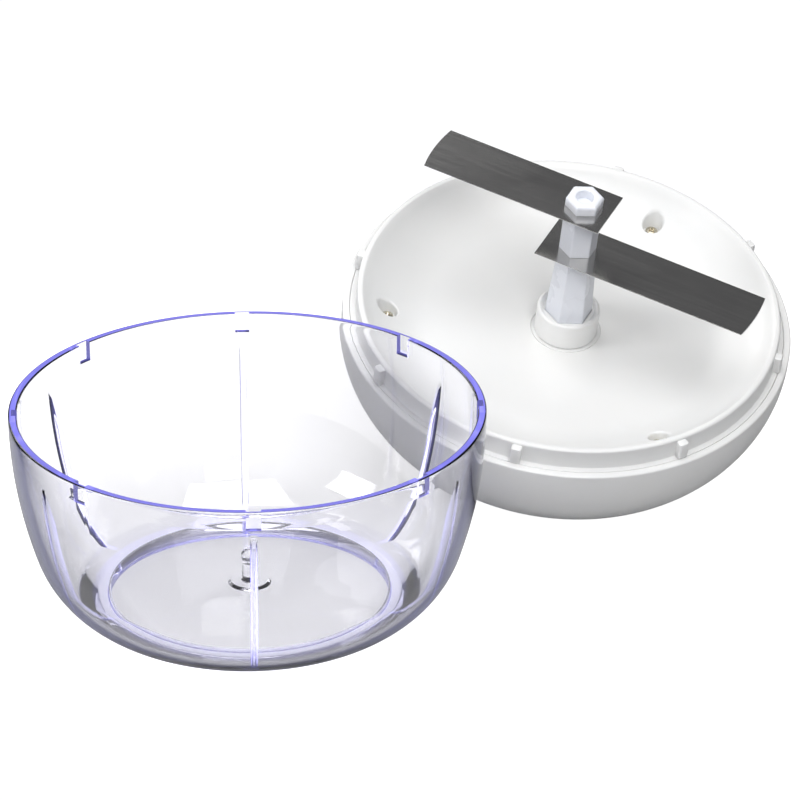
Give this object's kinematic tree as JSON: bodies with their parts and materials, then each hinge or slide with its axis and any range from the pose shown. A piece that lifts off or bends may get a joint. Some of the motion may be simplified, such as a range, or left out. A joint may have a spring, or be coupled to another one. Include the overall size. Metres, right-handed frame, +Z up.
{
  "type": "crank food chopper",
  "caption": "Hand-cranked food chopper: clear round bowl with ribs and notches, and a geared lid turned over beside it, with two flat blades on a hexagonal shaft.",
  "frame": {"origin": "middle of the bowl's foot, on the table", "axes": "+Z up along the bowl's axis, +X to the right and +Y away from the viewer of the picture; the lid lies behind and right of the bowl"},
  "size_m": [0.2797, 0.2778, 0.1251],
  "materials": {
    "clear_bowl": "clear moulded plastic, polished",
    "white_gloss": "smooth gloss white moulding",
    "cool_white": "smooth white moulding, slightly bluish",
    "bearing_plastic": "matt natural bearing plastic",
    "gear_plastic": "matt natural gear plastic",
    "blade_steel": "stainless steel ground along the blade",
    "screw_steel": "yellowish plated screw steel",
    "turned_steel": "turned bright steel",
    "stamped_steel": "stamped sheet steel"
  },
  "bodies": {
    "bowl": {"bowl": "clear_bowl"},
    "lid": {"dome_cover": "white_gloss", "dish_cover": "white_gloss", "cover_screws": "screw_steel", "idler_pins": "turned_steel", "gear_plate": "stamped_steel", "plate_screws": "screw_steel", "crank_bush": "bearing_plastic", "collar_washer": "bearing_plastic"},
    "crank": {"ring_gear": "gear_plastic", "crank_arm": "white_gloss", "crank_washer": "turned_steel", "crank_screw": "screw_steel", "knob_pin": "turned_steel"},
    "knob": {"crank_knob": "white_gloss", "knob_cap": "white_gloss"},
    "idler_1": {"idler_gear_1": "gear_plastic"},
    "idler_2": {"idler_gear_2": "gear_plastic"},
    "idler_3": {"idler_gear_3": "gear_plastic"},
    "drive": {"drive_collar": "white_gloss", "sun_gear": "gear_plastic", "drive_clip": "turned_steel"},
    "blades": {"blade_shaft": "cool_white", "blade_spacer": "cool_white", "shaft_cap": "cool_white", "lower_blade": "blade_steel", "upper_blade": "blade_steel"}
  },
  "joints": [
    {"name": "lid_lift", "type": "slide", "parent": "bowl", "child": "lid", "axis": [0.1917, 0.1897, 0.963], "range_m": [0, 0.12]},
    {"name": "crank_spin", "type": "hinge", "parent": "lid", "child": "crank", "pos_m": [0.11526, 0.11406, 0.05692], "axis": [0.0833, -0.329, 0.9406], "continuous": true},
    {"name": "knob_spin", "type": "hinge", "parent": "crank", "child": "knob", "pos_m": [0.10326, 0.16148, 0.07456], "axis": [0.0833, -0.329, 0.9406], "continuous": true},
    {"name": "idler_1_spin", "type": "hinge", "parent": "lid", "child": "idler_1", "pos_m": [0.10281, 0.13504, 0.04813], "axis": [0.0833, -0.329, 0.9406], "continuous": true},
    {"name": "idler_2_spin", "type": "hinge", "parent": "lid", "child": "idler_2", "pos_m": [0.10487, 0.10205, 0.03641], "axis": [0.0833, -0.329, 0.9406], "continuous": true},
    {"name": "idler_3_spin", "type": "hinge", "parent": "lid", "child": "idler_3", "pos_m": [0.13406, 0.12108, 0.04048], "axis": [0.0833, -0.329, 0.9406], "continuous": true},
    {"name": "blade_spin", "type": "hinge", "parent": "lid", "child": "drive", "pos_m": [0.11526, 0.11406, 0.05692], "axis": [0.0833, -0.329, 0.9406], "continuous": true},
    {"name": "blade_lift", "type": "slide", "parent": "drive", "child": "blades", "axis": [0.0833, -0.329, 0.9406], "range_m": [0, 0.09]}
  ],
  "couplings": [
    {"joint": "idler_1_spin", "follows": "crank_spin", "ratio": 2.8},
    {"joint": "idler_2_spin", "follows": "crank_spin", "ratio": 2.8},
    {"joint": "idler_3_spin", "follows": "crank_spin", "ratio": 2.8},
    {"joint": "blade_spin", "follows": "crank_spin", "ratio": -3.5}
  ]
}
